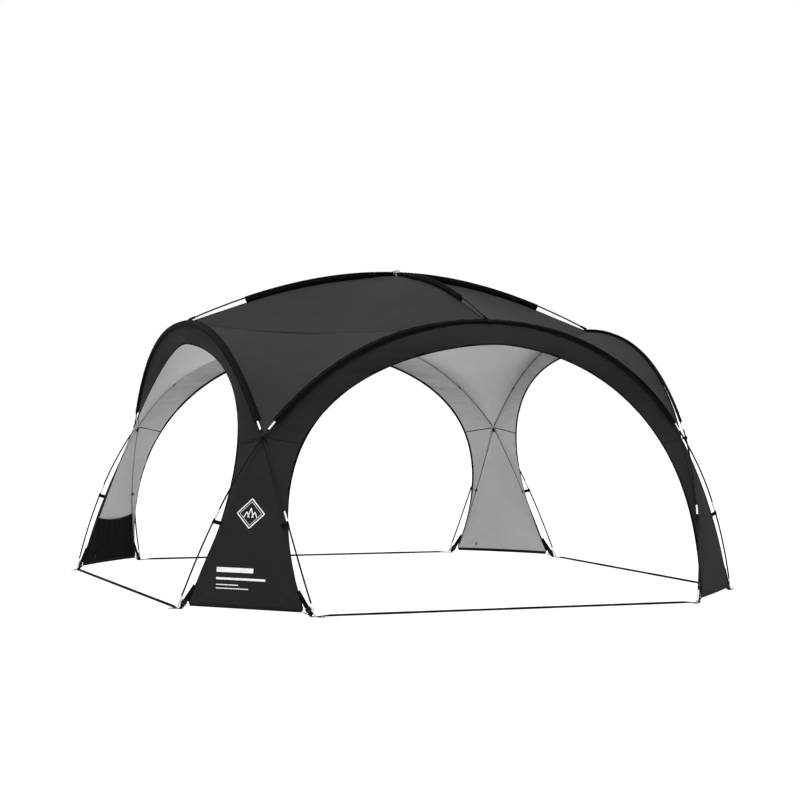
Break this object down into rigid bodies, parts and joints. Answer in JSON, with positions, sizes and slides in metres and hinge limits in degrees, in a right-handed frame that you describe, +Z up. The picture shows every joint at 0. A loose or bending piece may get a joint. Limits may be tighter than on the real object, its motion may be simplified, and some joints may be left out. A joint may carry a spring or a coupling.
{
  "type": "tarp shelter",
  "caption": "Open-sided dome shelter: crossing arch poles over four legs, roof poles, sewn canopy with visor bands, webbing feet.",
  "frame": {"origin": "on the ground, at the middle of the eight pole feet", "axes": "+Z up, -Y out through the front opening, +X to the right"},
  "size_m": [4.1088, 4.1088, 2.2259],
  "materials": {
    "pole_fibreglass": "satin, pultruded",
    "pole_metal": "satin",
    "sleeve_cloth": "woven, matt",
    "canopy_cloth": "150 denier oxford weave outside, silver coating inside",
    "binding_tape": "ribbed tape",
    "webbing": "ribbed webbing",
    "grommet_metal": "satin",
    "moulded_plastic": "moulded",
    "pocket_cloth": "woven, matt"
  },
  "bodies": {
    "root": {"front_arch_pole": "pole_fibreglass", "right_arch_pole": "pole_fibreglass", "back_arch_pole": "pole_fibreglass", "left_arch_pole": "pole_fibreglass", "cross_roof_pole": "pole_fibreglass", "fore_aft_roof_pole": "pole_fibreglass", "pole_ferrules": "pole_metal", "pole_foot_tubes": "pole_metal", "front_arch_sleeve": "sleeve_cloth", "right_arch_sleeve": "sleeve_cloth", "back_arch_sleeve": "sleeve_cloth", "left_arch_sleeve": "sleeve_cloth", "front_roof_sleeve": "sleeve_cloth", "right_roof_sleeve": "sleeve_cloth", "back_roof_sleeve": "sleeve_cloth", "left_roof_sleeve": "sleeve_cloth", "front_left_roof_panel": "canopy_cloth", "front_right_roof_panel": "canopy_cloth", "back_right_roof_panel": "canopy_cloth", "back_left_roof_panel": "canopy_cloth", "front_left_shoulder": "canopy_cloth", "front_right_shoulder": "canopy_cloth", "back_right_shoulder": "canopy_cloth", "back_left_shoulder": "canopy_cloth", "front_visor": "canopy_cloth", "right_visor": "canopy_cloth", "back_visor": "canopy_cloth", "left_visor": "canopy_cloth", "front_left_leg": "canopy_cloth", "front_right_leg": "canopy_cloth", "back_right_leg": "canopy_cloth", "back_left_leg": "canopy_cloth", "front_leg_wings": "canopy_cloth", "right_leg_wings": "canopy_cloth", "back_leg_wings": "canopy_cloth", "left_leg_wings": "canopy_cloth", "opening_bindings": "binding_tape", "hem_tapes": "binding_tape", "corner_patches": "binding_tape", "corner_straps": "webbing", "foot_tabs": "webbing", "tip_grommets": "grommet_metal", "peg_grommets": "grommet_metal", "mid_leg_straps": "webbing", "crossing_ties": "webbing", "roof_pole_pockets": "webbing", "wall_toggles": "moulded_plastic", "storage_pocket": "pocket_cloth", "front_ground_tape": "webbing", "right_ground_tape": "webbing", "back_ground_tape": "webbing", "left_ground_tape": "webbing"},
    "front_left_buckle_front": {"front_left_buckle_front": "moulded_plastic"},
    "front_left_buckle_left": {"front_left_buckle_left": "moulded_plastic"},
    "front_right_buckle_right": {"front_right_buckle_right": "moulded_plastic"},
    "front_right_buckle_front": {"front_right_buckle_front": "moulded_plastic"},
    "back_right_buckle_back": {"back_right_buckle_back": "moulded_plastic"},
    "back_right_buckle_right": {"back_right_buckle_right": "moulded_plastic"},
    "back_left_buckle_left": {"back_left_buckle_left": "moulded_plastic"},
    "back_left_buckle_back": {"back_left_buckle_back": "moulded_plastic"}
  },
  "joints": [
    {"name": "front_left_buckle_slide_front", "type": "slide", "parent": "root", "child": "front_left_buckle_front", "axis": [-0.3709, 0.4349, 0.8205], "range_m": [-0.004, 0.014]},
    {"name": "front_left_buckle_slide_left", "type": "slide", "parent": "root", "child": "front_left_buckle_left", "axis": [0.4349, -0.3709, 0.8205], "range_m": [-0.004, 0.014]},
    {"name": "front_right_buckle_slide_right", "type": "slide", "parent": "root", "child": "front_right_buckle_right", "axis": [-0.4349, -0.3709, 0.8205], "range_m": [-0.004, 0.014]},
    {"name": "front_right_buckle_slide_front", "type": "slide", "parent": "root", "child": "front_right_buckle_front", "axis": [0.3709, 0.4349, 0.8205], "range_m": [-0.004, 0.014]},
    {"name": "back_right_buckle_slide_back", "type": "slide", "parent": "root", "child": "back_right_buckle_back", "axis": [0.3709, -0.4349, 0.8205], "range_m": [-0.004, 0.014]},
    {"name": "back_right_buckle_slide_right", "type": "slide", "parent": "root", "child": "back_right_buckle_right", "axis": [-0.4349, 0.3709, 0.8205], "range_m": [-0.004, 0.014]},
    {"name": "back_left_buckle_slide_left", "type": "slide", "parent": "root", "child": "back_left_buckle_left", "axis": [0.4349, 0.3709, 0.8205], "range_m": [-0.004, 0.014]},
    {"name": "back_left_buckle_slide_back", "type": "slide", "parent": "root", "child": "back_left_buckle_back", "axis": [-0.3709, -0.4349, 0.8205], "range_m": [-0.004, 0.014]}
  ]
}
